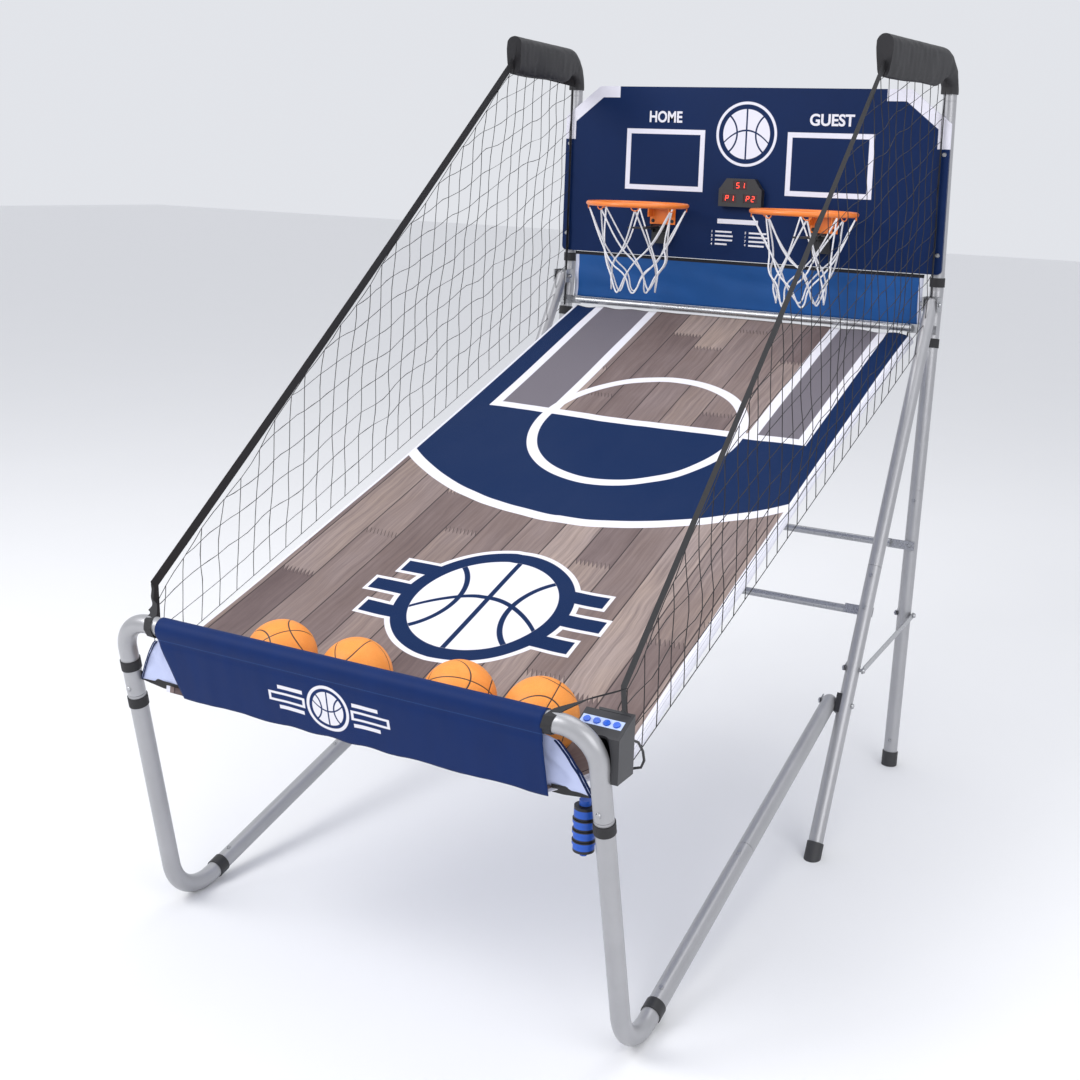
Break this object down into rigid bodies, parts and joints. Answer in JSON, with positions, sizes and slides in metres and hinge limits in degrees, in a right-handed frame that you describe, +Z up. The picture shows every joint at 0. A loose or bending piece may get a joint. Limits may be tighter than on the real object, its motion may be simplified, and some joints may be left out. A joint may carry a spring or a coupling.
{
  "type": "basketball hoop machine",
  "caption": "Folding two-player arcade basketball hoop machine: tube frame, sloping printed ramp, side nets, backboard with rims, nets, score sensors and balls",
  "frame": {"origin": "floor level, under the middle of the whole machine", "axes": "+Z up, +Y from the player towards the backboard, +X to the player's right"},
  "size_m": [1.2446, 2.037, 2.0136],
  "materials": {
    "frame_steel": "silver-grey powder coat, satin",
    "bar_steel": "silver-grey powder coat, thinner tube",
    "zinc": "zinc-plated screws, nuts and washers",
    "black_plastic": "moulded, fine grain",
    "foot_plastic": "moulded grey feet",
    "black_fabric": "woven black tape and sleeve cloth",
    "navy_fabric": "navy oxford cloth, slightly wrinkled",
    "ramp_print": "printed oxford cloth: planks, navy court and white lines",
    "gusset_fabric": "pale cloth with navy binding",
    "rear_fabric": "blue cloth with white side hems",
    "board_print": "printed board with white squares and corners",
    "score_plastic": "moulded black housing",
    "score_lens": "dark red window over lit digits",
    "rim_paint": "orange enamel",
    "net_cord": "white braided cord",
    "side_mesh": "thin black knotted netting",
    "sensor_plastic": "moulded black",
    "ctrl_plastic": "moulded black, fine grain",
    "ctrl_label": "pale blue panel",
    "button_blue": "round blue buttons",
    "ball_rubber": "orange pebbled rubber with black channels",
    "lead_rubber": "thin black lead",
    "pump_plastic": "blue barrel with dark rings"
  },
  "bodies": {
    "rear_frame": {"upright_lower_left": "frame_steel", "upright_lower_right": "frame_steel", "upright_upper_left": "frame_steel", "upright_upper_right": "frame_steel", "upright_feet": "foot_plastic", "top_arms": "frame_steel", "rear_cross_bar": "bar_steel", "upright_fasteners": "zinc", "leg_clevises": "bar_steel", "ramp_bar": "bar_steel", "ramp": "ramp_print", "side_net_left": "side_mesh", "side_net_right": "side_mesh", "arm_sleeves": "black_fabric", "rear_panel": "rear_fabric", "backboard": "board_print", "scoreboard": "score_plastic", "score_windows": "score_lens", "rim_left": "rim_paint", "rim_right": "rim_paint", "rim_nets": "net_cord", "sensor_boxes": "sensor_plastic", "lead_rear": "lead_rubber", "upright_bands": "black_fabric"},
    "support_legs": {"support_lower_left": "frame_steel", "support_lower_right": "frame_steel", "support_upper_left": "frame_steel", "support_upper_right": "frame_steel", "support_feet": "foot_plastic", "front_cross_bar": "bar_steel", "support_fasteners": "zinc", "rail_saddles": "black_plastic", "rail_pivots": "zinc"},
    "front_frame": {"front_bar": "frame_steel", "front_leg_left": "frame_steel", "front_leg_right": "frame_steel", "rail_front_left": "frame_steel", "rail_front_right": "frame_steel", "rail_rear_left": "frame_steel", "rail_rear_right": "frame_steel", "rail_collars": "black_plastic", "front_fasteners": "zinc", "leg_bands": "black_fabric", "front_panel": "navy_fabric", "tray_gussets": "gusset_fabric", "controller": "ctrl_plastic", "controller_panel": "ctrl_label", "lead_front": "lead_rubber", "pump": "pump_plastic"},
    "spreaders": {"spreaders": "bar_steel"},
    "lever_left": {"score_lever_left": "sensor_plastic"},
    "lever_right": {"score_lever_right": "sensor_plastic"},
    "button_1": {"button_1": "button_blue"},
    "ball_1": {"ball_1": "ball_rubber"},
    "button_2": {"button_2": "button_blue"},
    "ball_2": {"ball_2": "ball_rubber"},
    "button_3": {"button_3": "button_blue"},
    "ball_3": {"ball_3": "ball_rubber"},
    "button_4": {"button_4": "button_blue"},
    "ball_4": {"ball_4": "ball_rubber"}
  },
  "joints": [
    {"name": "leg_fold", "type": "hinge", "parent": "rear_frame", "child": "support_legs", "pos_m": [0, 0.94312, 1.305], "axis": [1, 0, 0], "range_deg": [0, 20], "deforming": ["ramp", "side_net_left", "side_net_right"]},
    {"name": "front_fold", "type": "hinge", "parent": "support_legs", "child": "front_frame", "pos_m": [0, 0.34321, 0.32532], "axis": [-1, 0, 0], "range_deg": [0, 70], "deforming": ["ramp", "side_net_left", "side_net_right"]},
    {"name": "spreader_swing", "type": "hinge", "parent": "rear_frame", "child": "spreaders", "pos_m": [0, 0.87471, 0.425], "axis": [1, 0, 0], "range_deg": [0, 80]},
    {"name": "lever_left_swing", "type": "hinge", "parent": "rear_frame", "child": "lever_left", "pos_m": [-0.2575, 0.93179, 1.477], "axis": [1, 0, 0], "range_deg": [0, 35], "stiffness_Nm_per_rad": 0.1, "springref_deg": -20.05},
    {"name": "lever_right_swing", "type": "hinge", "parent": "rear_frame", "child": "lever_right", "pos_m": [0.2575, 0.93179, 1.477], "axis": [1, 0, 0], "range_deg": [0, 35], "stiffness_Nm_per_rad": 0.1, "springref_deg": -20.05},
    {"name": "button_1_press", "type": "slide", "parent": "front_frame", "child": "button_1", "axis": [0, 0.4067, -0.9135], "range_m": [0, 0.0018], "stiffness_N_per_m": 400, "springref_m": -0.0005},
    {"name": "button_2_press", "type": "slide", "parent": "front_frame", "child": "button_2", "axis": [0, 0.4067, -0.9135], "range_m": [0, 0.0018], "stiffness_N_per_m": 400, "springref_m": -0.0005},
    {"name": "button_3_press", "type": "slide", "parent": "front_frame", "child": "button_3", "axis": [0, 0.4067, -0.9135], "range_m": [0, 0.0018], "stiffness_N_per_m": 400, "springref_m": -0.0005},
    {"name": "button_4_press", "type": "slide", "parent": "front_frame", "child": "button_4", "axis": [0, 0.4067, -0.9135], "range_m": [0, 0.0018], "stiffness_N_per_m": 400, "springref_m": -0.0005},
    {"name": "ball_1_lift", "type": "slide", "parent": "front_frame", "child": "ball_1", "axis": [0, 0.5, 0.866], "range_m": [0, 0.3]},
    {"name": "ball_2_lift", "type": "slide", "parent": "front_frame", "child": "ball_2", "axis": [0, 0.5, 0.866], "range_m": [0, 0.3]},
    {"name": "ball_3_lift", "type": "slide", "parent": "front_frame", "child": "ball_3", "axis": [0, 0.5, 0.866], "range_m": [0, 0.3]},
    {"name": "ball_4_lift", "type": "slide", "parent": "front_frame", "child": "ball_4", "axis": [0, 0.5, 0.866], "range_m": [0, 0.3]}
  ],
  "couplings": [
    {"joint": "spreader_swing", "follows": "leg_fold", "ratio": 4}
  ]
}
